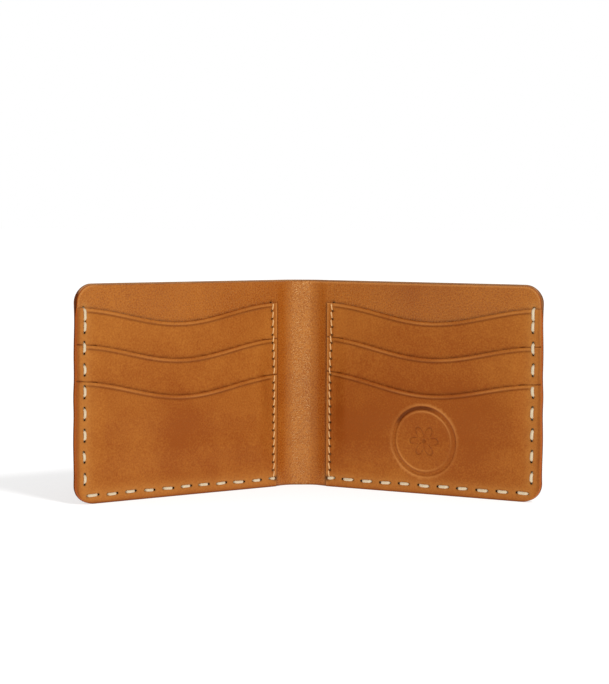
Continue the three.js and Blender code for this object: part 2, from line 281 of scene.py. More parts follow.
class Seam:
    """Holes in a row, and the legs of thread between them.

    front_legs says which legs lie on the front. A leg's ends are tucked into its holes: pulls gives how
    far its first end draws its hole open, against 1 for its second end.
    """

    def __init__(self, holes, front_legs, hole_size, pulls, slant=0.0):
        self.holes = np.array(holes)
        self.front_legs = front_legs
        self.back_legs = [i for i in range(len(holes) - 1) if i not in front_legs]
        self.hole_size = hole_size
        self.pulls = pulls
        self.slant = np.array([slant, 0])

    def segments(self, legs):
        return self.holes[legs], self.holes[[i + 1 for i in legs]]

    def leg_ends(self, i):
        a, b = self.holes[i], self.holes[i + 1]
        along = (b - a) / np.hypot(*(b - a))
        tuck = 0.8 * self.hole_size * along
        return a + tuck * self.pulls[i] - self.slant, b - tuck

    def round_holes(self):
        centres = self.holes + 0.5 * self.slant
        return [hole_loop(centre, (1, 0), self.hole_size, self.hole_size) for centre in centres]

    def pulled_holes(self, legs):
        """Holes drawn a little long by the stitches that end in them."""
        loops = {}
        for i in legs:
            for end, other, pull in ((i, i + 1, self.pulls[i]), (i + 1, i, 1.0)):
                away = self.holes[end] - self.holes[other]
                away /= np.hypot(*away)
                size = self.hole_size * (0.75 + 0.25 * pull)
                centre = self.holes[end] + 0.15 * self.hole_size * away
                loops[end] = hole_loop(centre, away, size, 0.84 * size)
        return list(loops.values())


def edge_seam(side):
    """The thick running stitch down the side and along the bottom, with a hand's small errors."""
    rng = np.random.default_rng(11 if side == "right" else 23)
    side_zs = [SIDE_TOP_Z, *(SIDE_SECOND_Z - i * SIDE_PITCH for i in range(SIDE_HOLES))]
    holes = [(EDGE_SEAM_X, z) for z in side_zs]
    holes += [(BOTTOM_OUTER_X - i * BOTTOM_PITCH, EDGE_SEAM_Z) for i in range(BOTTOM_HOLES)]
    holes = np.array(holes) + rng.normal(0, HAND_WANDER, (len(holes), 2))
    holes = np.append(holes, [[POCKET_INNER_X + 0.5, EDGE_SEAM_Z]], axis=0)
    wide_open = [*range(SIDE_HOLES + 1), len(holes) - 2]
    pulls = [0.85 if i in wide_open else 0.25 for i in range(len(holes))]
    return Seam(holes, [0, *range(1, len(holes) - 1, 2)], EDGE_HOLE_SIZE, pulls)


def inner_seam(first_front_leg=0):
    """The fine saddle stitch beside the spine: two threads, each on the front where the other is not."""
    zs = INNER_TOP_Z - INNER_PITCH * np.arange(INNER_HOLES)
    holes = list(zip(INNER_SEAM_X + INNER_DRIFT * ease(zs, 46, 80), zs))
    front_legs = list(range(first_front_leg, INNER_HOLES - 1, 2))
    return Seam(holes, front_legs, INNER_HOLE_SIZE, [1.0] * INNER_HOLES, INNER_SLANT)


def base_seam(index):
    """The hidden seam across the bottom of an upper pocket's body."""
    z = BODY_BOTTOMS[index] + BASE_SEAM_RISE
    xs = [DIP_CENTRE_X + (i - (BASE_HOLES - 1) / 2) * BASE_PITCH for i in range(BASE_HOLES)]
    front_legs = list(range(0, BASE_HOLES - 1, 2))
    return Seam([(x, z) for x in xs], front_legs, BASE_HOLE_SIZE, [1.0] * BASE_HOLES)


# ------------------------------------------------------------------ how the leather lies


def inside_seams(x):
    """1 over the pockets' hidden bodies, 0 at the stitches."""
    rise = ease(x, INNER_SEAM_X + 0.9, INNER_SEAM_X + 9)
    return rise * (1 - ease(x, EDGE_SEAM_X - 9, EDGE_SEAM_X - 1.1))


def lift_over_body(x, z, index):
    """How far a leather rises where it lies over the body of an upper pocket."""
    bottom = BODY_BOTTOMS[index]
    return POCKET_STEP * inside_seams(x) * ease(z, bottom - 5.2, bottom + 7.8)


def sway(x, z):
    """The slow unevenness of the whole wing, which dies away towards the spine, and the spine's curve."""
    waves = np.sin(x / 13 + 0.6) * np.sin(z / 19 + 0.4) + 0.7 * np.sin(x / 21 - z / 15 + 1.1)
    return 0.13 * waves * ease(x, 11, 30) - SPINE_BOW * bell(x, 4.5)


def shell_bulge(x, z):
    return BULGE * ease(z, EDGE_SEAM_Z + 1.2, 16) * (1 - ease(x, EDGE_SEAM_X - 12, EDGE_SEAM_X - 1.2))


def edge_wander(x, z):
    """How far the hand-cut outer edge strays outwards. It is a little wide lower down."""
    wander = 0.1 * np.sin(z / 3.1 + 0.7 * np.sin(z / 7)) + 0.3 * (1 - ease(z, 30, 78))
    return wander * ease(x, EDGE_SEAM_X - 6, WING_LENGTH)


def stitch_pull(points, seam, legs, depth):
    """How far leather is drawn in at stitches and holes, less its small pucker beside them."""
    reach = 1.3 * seam.hole_size
    gap, share = distance_to_segments(points, *seam.segments(legs))
    ends = np.unique([[i, i + 1] for i in legs])
    to_hole = distance_to_points(points, seam.holes[ends])
    under = depth * bell(gap, reach) * (1 - 0.35 * np.sin(np.pi * share))
    rim = 1.1 * depth * bell(to_hole, 1.7 * seam.hole_size)
    return np.maximum(under, rim) - 0.3 * depth * bell(gap - 2.4 * reach, reach)


def below_mouth(x, z, mouth):
    """Distance below a pocket's top edge, square to it."""
    slope = (top_edge(mouth, x + 0.05) - top_edge(mouth, x - 0.05)) / 0.1
    return (top_edge(mouth, x) - z) / np.hypot(1, slope)


def between_seams(x):
    """1 where a pocket's mouth is creased, fading to 0 at the stitches."""
    past_edge_seam = ease(x, EDGE_SEAM_X - 2.2, EDGE_SEAM_X + 0.6)
    return ease(x, INNER_SEAM_X - 0.4, INNER_SEAM_X + 2.5) * (1 - past_edge_seam)


def crease_relief(x, z, mouth):
    """The line creased below a pocket's top edge, and the rounded lip above it."""
    below = below_mouth(x, z, mouth)
    crease = -CREASE_DEPTH * bell(below - CREASE_DROP, CREASE_WIDTH)
    lip = 0.1 * bell(below - 0.55 * CREASE_DROP, 0.45)
    return (crease + lip) * between_seams(x)


def crease_shade(x, z, mouth):
    """Darker colour along the creased line."""
    return 0.75 * bell(below_mouth(x, z, mouth) - CREASE_DROP, 0.42) * between_seams(x)


def lip_highlight(x, z, mouth):
    """Painted highlight along the rounded lip, more in some places than in others."""
    patchy = 0.6 + 0.4 * np.sin(x / 6.3 + mouth[0])
    return patchy * bell(below_mouth(x, z, mouth) - 0.55 * CREASE_DROP, 0.4) * between_seams(x)


def mouth_lift(x, z, mouth):
    """A pocket's mouth stands off the layer behind it, most in the middle."""
    below = np.maximum(top_edge(mouth, x) - z, 0)
    return LIP_LIFT * np.exp(-below / 4) * ease(x, 22, 50) * (1 - ease(x, 75, 104))


def mouth_shade(x, z, mouth):
    """Painted shadow on a leather, along the mouth of the pocket in front of it."""
    on_pocket = ease(x, POCKET_INNER_X - 0.2, POCKET_INNER_X + 0.4)
    fading = 1 - 0.5 * ease(x, EDGE_SEAM_X - 4, EDGE_SEAM_X - 1)
    return 0.8 * bell(below_mouth(x, z, mouth) + 0.15, 0.4) * on_pocket * fading


def pocket_edge_shade(x, z):
    """Painted shadow on the lining, along the pockets' edge beside the spine."""
    visible = (1 - ease(z, POCKET_TOPS[0] - 0.6, POCKET_TOPS[0])) * (x < POCKET_INNER_X + 0.2)
    return 1.2 * bell(np.maximum(POCKET_INNER_X - 0.3 - x, 0), 0.7) * visible


def last_hole_shade(points, seam):
    """A seam's last hole, at the very edge of the pockets, is worn open; painted shade darkens round it.
    """
    return bell(np.hypot(*(points - seam.holes[-1]).T), 1.2)


def outer_edge_shade(x, side):
    """Dark line beside the outer edge: painted shade where the edge rounds away, with burnished
    darkening.
    """
    return (0.5 if side == "left" else 0.45) * bell(WING_LENGTH - 0.75 - x, 0.35)


def stamp_bearing(x, z):
    """A point's distance and direction from the stamp's centre."""
    return np.hypot(x - STAMP_X, z - STAMP_Z), np.arctan2(z - STAMP_Z, x - STAMP_X)


def stamp_ring(radius):
    within = 1 - ease(radius, STAMP_RADIUS - 0.4, STAMP_RADIUS)
    return ease(radius, STAMP_INNER_RADIUS, STAMP_INNER_RADIUS + 0.5) * within


def stamp_rosette(radius, angle):
    """Six petals drawn as a line, and a round eye."""
    petal = 6.0 * np.abs(np.cos(3 * angle)) ** 0.7 + 0.6
    line = bell(radius - petal, 0.36) * (1 - ease(radius, 6.7, 7.2))
    return np.maximum(line, 1 - ease(radius, 0.75, 1.15))


def stamp_upper_left(angle):
    """1 at the ring's upper left, where the ring is pressed deepest and painted darker as shade."""
    bearing = np.degrees(angle)
    return ease(bearing, 55, 85) * (1 - ease(bearing, 140, 158))


def stamp_relief(x, z):
    """A plain ring with raised rims and a rosette, pressed into the leather."""
    radius, angle = stamp_bearing(x, z)
    ring = (0.2 + 0.2 * stamp_upper_left(angle)) * stamp_ring(radius)
    rims = bell(radius - STAMP_RADIUS - 0.35, 0.4) + bell(radius - STAMP_INNER_RADIUS + 0.35, 0.4)
    return 0.1 * rims - np.maximum(ring, 0.24 * stamp_rosette(radius, angle))


def stamp_shade(x, z):
    """Dark marks of the stamp, mostly painted shade: the ring's darker upper-left stretch, its walls and
    the rosette.
    """
    radius, angle = stamp_bearing(x, z)
    walls = bell(radius - STAMP_INNER_RADIUS - 0.1, 0.32) + bell(radius - STAMP_RADIUS + 0.25, 0.3)
    dark_arc = 1.3 * stamp_upper_left(angle) * stamp_ring(radius)
    return dark_arc + 0.3 * walls + 0.6 * stamp_rosette(radius, angle)


def stamp_rim_highlight(x, z):
    """Painted highlights on the rims beside the ring, stronger at some bearings than at others."""
    radius, angle = stamp_bearing(x, z)
    rims = bell(radius - STAMP_RADIUS - 0.45, 0.45) + bell(radius - STAMP_INNER_RADIUS + 0.6, 0.4)
    return rims * (0.9 + 0.6 * np.sin(2 * angle - 0.6))


def pocket_lift(x, z, index):
    """How far a pocket's leather stands off its level at the seams."""
    over_bodies = sum(lift_over_body(x, z, below) for below in range(index))
    return over_bodies + sway(x, z) + mouth_lift(x, z, (POCKET_TOPS[index], 0))


def paring(x, z, index):
    """What is pared off an upper pocket, so that its body lies under the pocket in front."""
    room = np.clip(lift_over_body(x, z, index) - LAYER_GAP, THINNEST, POCKET_THICKNESS)
    next_edge = top_edge((POCKET_TOPS[index + 1], 0), x)
    covered = 1 - ease(z, next_edge, next_edge + 3)
    on_body = ease(x, BODY_INNER_X - 3.5, BODY_INNER_X) * (1 - ease(x, BODY_OUTER_X, BODY_OUTER_X + 3.5))
    return (POCKET_THICKNESS - room) * covered * on_body


# ------------------------------------------------------------------ laying out a sheet's points


def resampled(outline, spacing):
    """Points along a closed outline, corners kept."""
    points = []
    loop = np.array(outline + outline[:1], float)
    for a, b in zip(loop[:-1], loop[1:]):
        steps = max(1, round(np.hypot(*(b - a)) / spacing))
        points += [a + (b - a) * i / steps for i in range(steps)]
    return np.array(points)


def inset(loop, amount):
    """A closed loop's points moved inwards. The loop runs anticlockwise."""
    ahead = np.roll(loop, -1, axis=0) - np.roll(loop, 1, axis=0)
    ahead /= np.maximum(np.hypot(*ahead.T), 1e-9)[:, None]
    return loop + amount * np.stack([-ahead[:, 1], ahead[:, 0]], axis=1)


def inside(points, loop):
    x, z = points.T
    within = np.zeros(len(points), bool)
    for (x0, z0), (x1, z1) in zip(loop, np.roll(loop, -1, axis=0)):
        if z0 != z1:
            within ^= ((z0 > z) != (z1 > z)) & (x < x0 + (z - z0) * (x1 - x0) / (z1 - z0))
    return within


def edge_gap(points, loop):
    """Distance from a sheet's outline. The spine's centre line is not an edge."""
    ends = np.roll(loop, -1, axis=0)
    real = (loop[:, 0] > 1e-6) | (ends[:, 0] > 1e-6)
    return distance_to_segments(points, loop[real], ends[real])[0]


def rows_beside(starts, ends, offsets, spacing):
    """Rows of points beside segments, at each offset to either side."""
    points = []
    for a, b in zip(starts, ends):
        length = np.hypot(*(b - a))
        steps = max(1, round(length / spacing))
        along = (b - a) / length
        across = np.array([-along[1], along[0]])
        for i in range(steps):
            spot = a + along * (i + 0.5) * length / steps
            points += [spot + across * sign * offset for offset in offsets for sign in (-1, 1)]
    return points


def rows_below_top_edge(mouth):
    offsets = CREASE_DROP + np.array([-0.85, -0.55, -0.35, -0.2, -0.08, 0.08, 0.2, 0.35, 0.6, 1.0])
    xs = np.arange(POCKET_INNER_X + 0.6, WING_LENGTH - 0.5, 0.7)
    return [(x, top_edge(mouth, x) - offset) for offset in offsets for x in xs]


def rows_down_the_spine():
    return [(x, z) for x in np.arange(0.5, 15, 0.5) for z in np.arange(0.6, HEIGHT, 1.1)]


def stamp_points():
    """Points close together over the rosette and the ring."""
    reach = STAMP_RADIUS + 0.6
    steps = np.arange(-reach, reach, 0.3)
    near = [(x, z) for x in steps for z in steps]
    busy = [(x, z) for x, z in near if np.hypot(x, z) < 7.6 or 12 < np.hypot(x, z) < reach]
    return [(STAMP_X + x, STAMP_Z + z) for x, z in busy]


def background(low, high, spacing):
    """A hexagonal net of points."""
    return [
        (x, z)
        for i, z in enumerate(np.arange(low[1], high[1], spacing * 0.87))
        for x in np.arange(low[0] + (i % 2) * spacing / 2, high[0], spacing)
    ]


def thinned(candidates, kept, gap):
    """The candidates that lie at least gap from every kept point."""
    near = distance_to_points(candidates, kept)
    return [point for point, distance in zip(candidates, near) if distance >= gap]


def net_of(loop, openings, seams, extra):
    """Points and triangles that fill a loop, closer together at its edge, its seams and its relief."""
    fixed = [loop, *openings]
    points = list(np.concatenate(fixed))
    for amount, gap in ((0.06, 0.03), (0.16, 0.07), (0.32, 0.12), (0.6, 0.22), (1.0, 0.3)):
        points += thinned(inset(loop, amount), points, gap)
    for opening in openings:
        centre = opening.mean(axis=0)
        for scale in (1.35, 1.9):
            points += thinned(centre + (opening - centre) * scale, points, 0.12)
    for seam in seams:
        offsets = np.array([0.25, 0.8, 1.5, 2.4, 3.6]) * seam.hole_size
        rows = rows_beside(seam.holes[:-1], seam.holes[1:], offsets, 0.9 * seam.hole_size)
        points += thinned(rows, points, 0.45 * seam.hole_size)
    if extra:
        points += thinned(extra, points, 0.12)
    points += thinned(background(loop.min(axis=0), loop.max(axis=0), 1.0), points, 0.6)
    points = np.array(points)
    count = sum(map(len, fixed))
    keep = inside(points, loop) & (edge_gap(points, loop) > 0.03)
    for opening in openings:
        keep &= ~inside(points, opening)
    keep[:count] = True
    points = points[keep]

    rings = np.split(np.arange(count), np.cumsum([len(ring) for ring in fixed])[:-1])
    edges = [(int(i), int(j)) for ring in rings for i, j in zip(ring, np.roll(ring, -1))]
    corners, _, faces, *_ = delaunay_2d_cdt([Vector(p) for p in points], edges, [], 0, 1e-6)
    corners = np.array([tuple(c) for c in corners])
    faces = np.array(faces)
    middles = corners[faces].mean(axis=1)
    wanted = inside(middles, loop)
    for opening in openings:
        wanted &= ~inside(middles, opening)
    faces = faces[wanted]
    used = np.unique(faces)
    renumbered = np.full(len(corners), -1)
    renumbered[used] = np.arange(len(used))
    return corners[used], renumbered[faces]


# ------------------------------------------------------------------ folding from flat to rest


def bend_ends():
    """Where the bend starts and ends at rest, as (x, y)."""
    return (BEND_START, FACE_Y), turned(BEND_END, FACE_Y, REST_ANGLE)


def bend_share(x, y):
    start, end = map(np.array, bend_ends())
    along = end - start
    return ease(((x - start[0]) * along[0] + (y - start[1]) * along[1]) / (along @ along), 0, 1)


def folded(x, y, bends):
    """Flat points at rest. A sheet that bends takes its share of the fold by where it comes to rest."""
    if not bends:
        return turned(x, y, REST_ANGLE)
    low, high = np.zeros(len(x)), np.ones(len(x))
    for _ in range(40):
        share = (low + high) / 2
        too_small = bend_share(*turned(x, y, share * REST_ANGLE)) > share
        low = np.where(too_small, share, low)
        high = np.where(too_small, high, share)
    return turned(x, y, share * REST_ANGLE)


def at_rest(flat, side, bends=False):
    """Flat (x, depth, z) points, in metres in the row frame."""
    x = flat[:, 0] + edge_wander(flat[:, 0], flat[:, 2])
    x, y = folded(x, FACE_Y - flat[:, 1], bends)
    return np.stack([SIDES[side] * x, y, flat[:, 2]], axis=1) * MM


# ------------------------------------------------------------------ meshes


def new_piece(name, points, faces, materials, slots, marks, sharp_angle):
    """A mesh object. slots are its faces' materials, and marks are values that its materials read."""
    mesh = bpy.data.meshes.new(name)
    mesh.from_pydata(points.tolist(), [], faces)
    for material in materials:
        mesh.materials.append(material)
    mesh.polygons.foreach_set("material_index", np.array(slots, np.int32))
    for key, values in marks.items():
        kind, field = ("FLOAT_VECTOR", "vector") if values.ndim == 2 else ("FLOAT", "value")
        layer = mesh.attributes.new(key, kind, "POINT")
        layer.data.foreach_set(field, values.astype(np.float32).ravel())
    mesh.shade_smooth()
    mesh.set_sharp_from_angle(angle=math.radians(sharp_angle))
    mesh.update()
    piece = bpy.data.objects.new(name, mesh)
    bpy.context.scene.collection.objects.link(piece)
    return piece


def rounding(gap, radius):
    """How far a face drops at its edge, rounded to a radius."""
    short = np.maximum(radius - gap, 0)
    return radius - np.sqrt(np.maximum(radius**2 - short**2, 0))


# Patches of uneven colour: x, z, radius and how much darker and redder. The right wing's patches also
# carry painted shade, darkening that wing, which turns away from the key light, most near the fold.
PATCHES = {
    "left": [(64, 26, 12, 0.55), (62, 14, 42, 0.65), (90, 34, 12, 0.15)],
    "right": [(22, 30, 14, 0.8), (55, 20, 45, 0.7), (60, 92, 28, 0.7), (92, 26, 30, 0.6)],
}


def wear(points, gap, seam, openings, side):
    """What the leather's colour follows everywhere: cut edges, stitching, holes and uneven dye, with
    painted shade and painted highlights.
    """
    x, z = points.T
    outer = np.maximum(ease(x, WING_LENGTH - 3, WING_LENGTH - 1), 1 - ease(z, 1, 3))
    to_seam = distance_to_segments(points, seam.holes[:-1], seam.holes[1:])[0]
    to_stitch = distance_to_segments(points, *seam.segments(seam.front_legs))[0]
    to_hole = distance_to_points(points, [opening.mean(axis=0) for opening in openings])
    tone_and_shade = 0
    for patch_x, patch_z, reach, amount in PATCHES[side]:
        tone_and_shade = tone_and_shade + amount * bell(np.hypot(x - patch_x, z - patch_z), reach)
    above_pockets = ease(z, POCKET_TOPS[0] - 1, POCKET_TOPS[0])
    on_right = 1.0 if side == "right" else 0.0
    near_corner = np.maximum(on_right, ease(x, WING_LENGTH - 12, WING_LENGTH - 6))
    right_edge = on_right * outer * ease(z, 40, 75)
    return {
        # burnished darkening at the outer edges, with painted shade: darker on the left wing, whose edge
        # turns away from the key light, than on the right wing and above the pockets
        "burnish_and_shade": np.exp(-gap / 0.6) * outer * (1 - 0.6 * np.maximum(above_pockets, on_right)),
        "halo": 0.55 * bell(to_seam, 3.2) + 0.45 * bell(to_stitch, 1.5),
        # painted shade round every stitch hole, as in a deep hole
        "painted_hole_shade": bell(to_hole, 0.6),
        "tone_and_shade": tone_and_shade,
        # painted contact shadow: a dark line along the bottom edge, where the wallet stands on the floor
        "line": 1.2 * bell(z, 0.6),
        # painted highlight along the rounded outer edge, where it catches the light: near the outer
        # corner above the pockets, and down the right wing's edge
        "painted_highlight": 1.4 * bell(gap - 0.4, 0.3) * np.maximum(above_pockets * near_corner, right_edge),
    }


FRONT, BACK, CUT_EDGE, HOLE_WALL = range(4)  # where a leather's four materials go


def leather_sheet(name, side, outline, openings, extra, depths, rounds, materials, bends=False):
    """A sheet of leather: a front and a back face, an edge all round, and holes for its stitches.

    depths gives the front depth, the back depth, and any marks of the sheet's own at each (x, z).
    rounds are the radii of the front's and the back's edges.
    """
    seams = [edge_seam(side), inner_seam()]
    loop = resampled(outline, 0.8)
    openings = [opening for opening in openings if inside(opening, loop).all()]
    openings = [opening for opening in openings if edge_gap(opening, loop).min() > 0.15]
    points, triangles = net_of(loop, openings, seams, extra)
    x, z = points.T
    front, back, own_marks = depths(points)
    gap = edge_gap(points, loop)
    front = front - rounding(gap, rounds[0])
    back = back + rounding(gap, rounds[1])
    flat = np.concatenate([np.stack([x, front, z], axis=1), np.stack([x, back, z], axis=1)])

    count = len(points)
    triangles = triangles.tolist()
    directed = {(a, b) for t in triangles for a, b in zip(t, t[1:] + t[:1])}
    rim = sorted((a, b) for a, b in directed if (b, a) not in directed)
    at_hole = [gap[a] > 0.1 and x[a] > 0.1 for a, b in rim]
    faces = triangles + [[c + count, b + count, a + count] for a, b, c in triangles]
    faces += [[b, a, a + count, b + count] for a, b in rim]
    slots = [FRONT] * len(triangles) + [BACK] * len(triangles)
    slots += [HOLE_WALL if hole else CUT_EDGE for hole in at_hole]
    if side == "left":
        faces = [face[::-1] for face in faces]

    marks = wear(points, gap, seams[0], openings, side)
    for key, value in own_marks.items():
        marks[key] = marks.get(key, 0) + value
    marks = {key: np.tile(value, 2) for key, value in marks.items()}
    marks["flat"] = flat * (SIDES[side], 1, 1)
    return new_piece(name, at_rest(flat, side, bends), faces, materials, slots, marks, sharp_angle=38)


# ------------------------------------------------------------------ threads


def thread_path(seam, levels, rise, step, rng):
    """A thread's centre line through every hole of a seam.

    levels are the leather's front and back depths at (x, z), and rise is how far the thread's centre
    stands off them.
    """
    plunge, fall = 1.0 + rise, 0.8 * seam.hole_size
    path = [(*seam.leg_ends(0)[0], -0.4)]  # it starts between the layers
    for i in range(len(seam.holes) - 1):
        a, b = seam.leg_ends(i)
        outwards = 1 if i in seam.front_legs else -1
        length = np.hypot(*(b - a))
        across = np.array([a[1] - b[1], b[0] - a[0]]) / length
        t = np.linspace(0, 1, round(length / step))
        plan = a + np.outer(t, b - a) + np.outer(rng.normal(0, 0.1 * rise) * np.sin(np.pi * t), across)
        from_end = np.minimum(t, 1 - t) * length
        level = levels[0 if outwards > 0 else 1](*plan.T)
        depth = level + outwards * (rise - plunge * bell(from_end, fall))
        before, start = np.array(path[-1]), np.array([*a, depth[0]])
        steps = round(np.linalg.norm(start - before) / step)
        path += [tuple(before + (start - before) * k / steps) for k in range(1, steps + 1)]
        path += [(*spot, d) for spot, d in zip(plan[1:], depth[1:])]
    x, z, depth = np.array(path).T
    return np.stack([x, depth, z], axis=1)


def rope(name, side, path, radius, material):
    """A three-ply twisted thread, swept along flat (x, depth, z) points and a little flattened."""
    around = 18
    angles = np.arange(around) * 2 * math.pi / around
    steps = np.linalg.norm(np.diff(path, axis=0), axis=1)
    travelled = np.concatenate([[0], np.cumsum(steps)])
    ahead = np.gradient(path, axis=0)
    ahead /= np.linalg.norm(ahead, axis=1)[:, None]
    sideways = np.array([0.3, 0.2, 1.0])
    rings = []
    for spot, forward, distance in zip(path, ahead, travelled):
        sideways = sideways - forward * (sideways @ forward)
        sideways /= np.linalg.norm(sideways)
        ply = 1.5 * (angles - 2 * math.pi * distance / (5 * radius))
        reach = radius * (0.8 + 0.2 * np.abs(np.cos(ply)) ** 0.5)
        ring = np.outer(reach * np.cos(angles), sideways)
        ring += np.outer(reach * np.sin(angles), np.cross(forward, sideways))
        rings.append(spot + ring * (1, 0.8, 1))
    flat = np.concatenate([*rings, path[:1], path[-1:]])

    last = (len(path) - 1) * around
    faces = []
    for j in range(around):
        k = (j + 1) % around
        faces += [[i + j, i + k, i + around + k, i + around + j] for i in range(0, last, around)]
        faces += [[len(flat) - 2, k, j], [len(flat) - 1, last + j, last + k]]
    if side == "left":
        faces = [face[::-1] for face in faces]
    length = np.concatenate([np.repeat(travelled, around), [0, travelled[-1]]])
    turn = np.concatenate([np.tile(angles, len(path)), [0, 0]])
    marks = {
        "flat": flat * (SIDES[side], 1, 1),
        "fibre": np.stack([length, radius * np.cos(turn), radius * np.sin(turn)], axis=1),
    }
    slots = [0] * len(faces)
    return new_piece(name, at_rest(flat, side), faces, [material], slots, marks, sharp_angle=75)


# ------------------------------------------------------------------ materials


def colour(red, green, blue):
    """A colour given as it is displayed, 0 to 255, turned to linear light."""
    display = np.array([red, green, blue]) / 255
    linear = np.where(display <= 0.04045, display / 12.92, ((display + 0.055) / 1.055) ** 2.4)
    return (*linear.tolist(), 1.0)


class Paint:
    """A material, built up one node at a time."""

    def __init__(self, name):
        self.material = bpy.data.materials.new(name)
        self.material.use_nodes = True
        self.tree = self.material.node_tree
        self.surface = self.tree.nodes["Principled BSDF"]
        self.flat = self.mark("flat", "Vector")

    def feed(self, socket, value):
        if isinstance(value, bpy.types.NodeSocket):
            self.tree.links.new(value, socket)
        else:
            socket.default_value = value

    def add(self, kind, inputs, output, **settings):
        made = self.tree.nodes.new("ShaderNode" + kind)
        for key, value in settings.items():
            setattr(made, key, value)
        for key, value in inputs.items():
            self.feed(made.inputs[key], value)
        return made.outputs[output]

    def mark(self, name, output="Fac"):
        """A value kept on the mesh's points."""
        return self.add("Attribute", {}, output, attribute_name=name)

    def noise(self, size, detail=2.0, place=None, stretch=(1, 1, 1)):
        """Cloudy noise round 0.5, with features of a size in millimetres."""
        place = self.add("Mapping", {"Vector": place or self.flat, "Scale": stretch}, "Vector")
        return self.add("TexNoise", {"Vector": place, "Scale": 1 / size, "Detail": detail}, "Fac")

    def cells(self, size):
        return self.add("TexVoronoi", {"Vector": self.flat, "Scale": 1 / size}, "Distance")

    def maths(self, operation, a, b):
        return self.add("Math", {0: a, 1: b}, "Value", operation=operation)

    def weighted(self, base, *terms):
        """base, plus each value's departure from 0.5 times its weight, kept within 0 and 1."""
        total = base
        for value, weight in terms:
            departure = self.maths("MULTIPLY", self.maths("SUBTRACT", value, 0.5), weight)
            total = self.maths("ADD", total, departure)
        return self.add("Clamp", {"Value": total}, "Result")

    def mix(self, share, first, second):
        return self.add("Mix", {0: share, 6: first, 7: second}, 2, data_type="RGBA")

    def finish(self, base, roughness, height, bump_mm, **others):
        bump = {"Height": height, "Distance": bump_mm * MM, "Strength": 1.0}
        self.feed(self.surface.inputs["Base Color"], base)
        self.feed(self.surface.inputs["Roughness"], roughness)
        self.feed(self.surface.inputs["Normal"], self.add("Bump", bump, "Normal"))
        for key, value in others.items():
            self.feed(self.surface.inputs[key.replace("_", " ")], value)
        return self.material


AMBER = (1.0, 0.74, 0.34, 1.0)


def grain_leather(name, deep, pale, shine, roughness, graininess):
    """Smooth vegetable-tanned leather: uneven dye, fine pores, paler at stitching and darker at edges,
    with painted shade and painted highlights in its colour.
    """
    paint = Paint(name)
    clouds, mottle, speckle = paint.noise(30, 3), paint.noise(7, 3), paint.noise(0.7, 1)
    # uneven colour from the patches, with painted shade on the right wing
    patch = paint.maths("SUBTRACT", 0.5, paint.maths("MULTIPLY", paint.mark("tone_and_shade"), 0.5))
    share = paint.weighted(0.5, (clouds, 0.9), (mottle, 0.35), (speckle, graininess), (patch, 1.0))
    base = paint.mix(share, deep, pale)
    base = paint.mix(paint.maths("MULTIPLY", paint.mark("halo"), 0.5), base, colour(200, 134, 64))
    # painted highlight on rims, lips and edges that would catch the light
    base = paint.mix(paint.maths("MULTIPLY", paint.mark("painted_highlight"), 0.45), base, colour(204, 134, 68))
    # burnished darkening and painted shade at the outer edges
    base = paint.mix(paint.maths("MULTIPLY", paint.mark("burnish_and_shade"), 0.85), base, colour(132, 60, 20))
    # dark lines, mostly painted shade: shadows along the pockets' mouths and inner edges, beside the
    # outer edge, along the bottom and in the stamp, with the darker creases
    base = paint.mix(paint.maths("MULTIPLY", paint.mark("line"), 0.7), base, colour(100, 42, 10))
    # painted shade round stitch holes
    base = paint.mix(paint.mark("painted_hole_shade"), base, colour(44, 18, 8))
    pores = paint.maths("MULTIPLY", paint.cells(0.6), 0.7)
    height = paint.maths("ADD", paint.noise(0.8, 4), pores)
    roughness = paint.weighted(roughness, (mottle, 0.2), (speckle, 0.3))
    bump = 0.08 * graininess
    return paint.finish(base, roughness, height, bump, Specular_IOR_Level=shine, Specular_Tint=AMBER)


def flesh_side(name):
    """The napped underside of the leather."""
    paint = Paint(name)
    nap = paint.noise(0.5, 5)
    share = paint.weighted(0.5, (paint.noise(12, 3), 1.0), (nap, 0.7))
    base = paint.mix(share, colour(158, 106, 62), colour(196, 148, 100))
    # burnished darkening and painted shade near the shell's outer edge
    base = paint.mix(paint.maths("MULTIPLY", paint.mark("burnish_and_shade"), 0.95), base, colour(92, 46, 18))
    # painted shade round stitch holes
    base = paint.mix(paint.mark("painted_hole_shade"), base, colour(44, 18, 8))
    return paint.finish(base, 0.9, nap, 0.12, Sheen_Weight=0.05, Specular_IOR_Level=0.05)


def burnished_edge(name, deep, pale):
    """A cut edge, dyed and rubbed smooth, with the fibres' streaks along it."""
    paint = Paint(name)
    streaks = paint.noise(1.2, 3, stretch=(1, 9, 1))
    share = paint.weighted(0.5, (streaks, 1.2), (paint.noise(9, 2), 0.8))
    base = paint.mix(share, deep, pale)
    roughness = paint.weighted(0.55, (streaks, 0.3))
    return paint.finish(base, roughness, streaks, 0.06, Specular_IOR_Level=0.05, Specular_Tint=AMBER)


def hole_wall(name):
    paint = Paint(name)
    fibres = paint.noise(0.3, 3)
    base = paint.mix(fibres, colour(30, 13, 7), colour(66, 30, 14))
    return paint.finish(base, 0.9, fibres, 0.05, Specular_IOR_Level=0.05)


def waxed_thread(name, shade, light):
    """Twisted linen, with fibres that follow the thread."""
    paint = Paint(name)
    fibres = paint.noise(0.12, 3, paint.mark("fibre", "Vector"), stretch=(0.12, 1, 1))
    share = paint.weighted(0.6, (fibres, 1.4), (paint.noise(3, 2), 0.8))
    base = paint.mix(share, shade, light)
    return paint.finish(base, 0.62, fibres, 0.04, Sheen_Weight=0.15)


FLESH = flesh_side("flesh_side")
EDGE = burnished_edge("burnished_edge", colour(150, 58, 8), colour(206, 102, 24))
